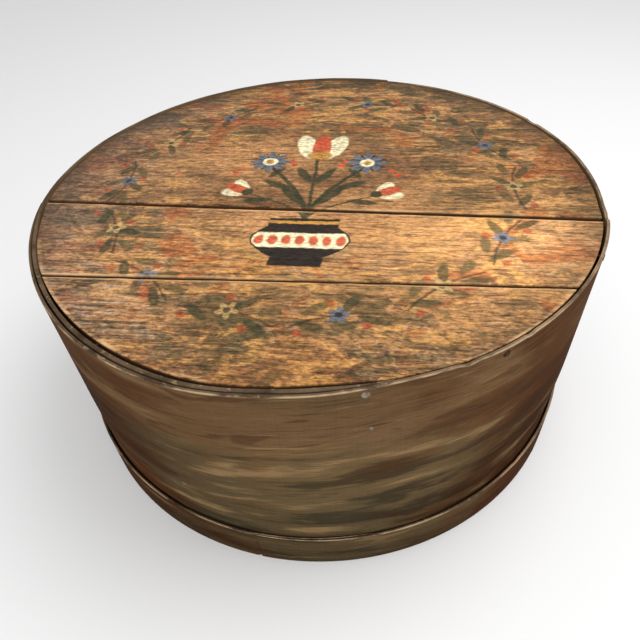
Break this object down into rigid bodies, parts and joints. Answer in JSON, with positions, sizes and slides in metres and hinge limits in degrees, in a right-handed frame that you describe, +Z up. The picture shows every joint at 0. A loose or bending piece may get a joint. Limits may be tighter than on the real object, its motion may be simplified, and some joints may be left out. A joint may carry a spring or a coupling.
{
  "type": "round bentwood box",
  "caption": "Round bentwood cheese box: a deep cover of matched boards in a tall lapped hoop, which lifts off a shallow boarded base with a low band.",
  "frame": {"origin": "middle of the base's underside", "axes": "+Z up along the lift of the cover, X along the boards, -Y towards the front board"},
  "size_m": [0.408, 0.408, 0.18],
  "materials": {
    "top_boards": "worn varnish",
    "bent_strip": "old dark wash",
    "base_boards": "bare",
    "base_strip": "old dark wash",
    "iron_nails": "rusted",
    "iron_tacks": "worn"
  },
  "bodies": {
    "base": {"base_rear_board": "base_boards", "base_middle_board": "base_boards", "base_front_board": "base_boards", "base_band": "base_strip", "base_nails": "iron_nails", "band_tacks": "iron_tacks"},
    "cover": {"top_rear_board": "top_boards", "top_middle_board": "top_boards", "top_front_board": "top_boards", "cover_hoop": "bent_strip", "cover_nails": "iron_nails", "lap_tacks": "iron_tacks"}
  },
  "joints": [
    {"name": "cover_lift", "type": "slide", "parent": "base", "child": "cover", "axis": [0, 0, 1], "range_m": [0, 0.2]}
  ]
}
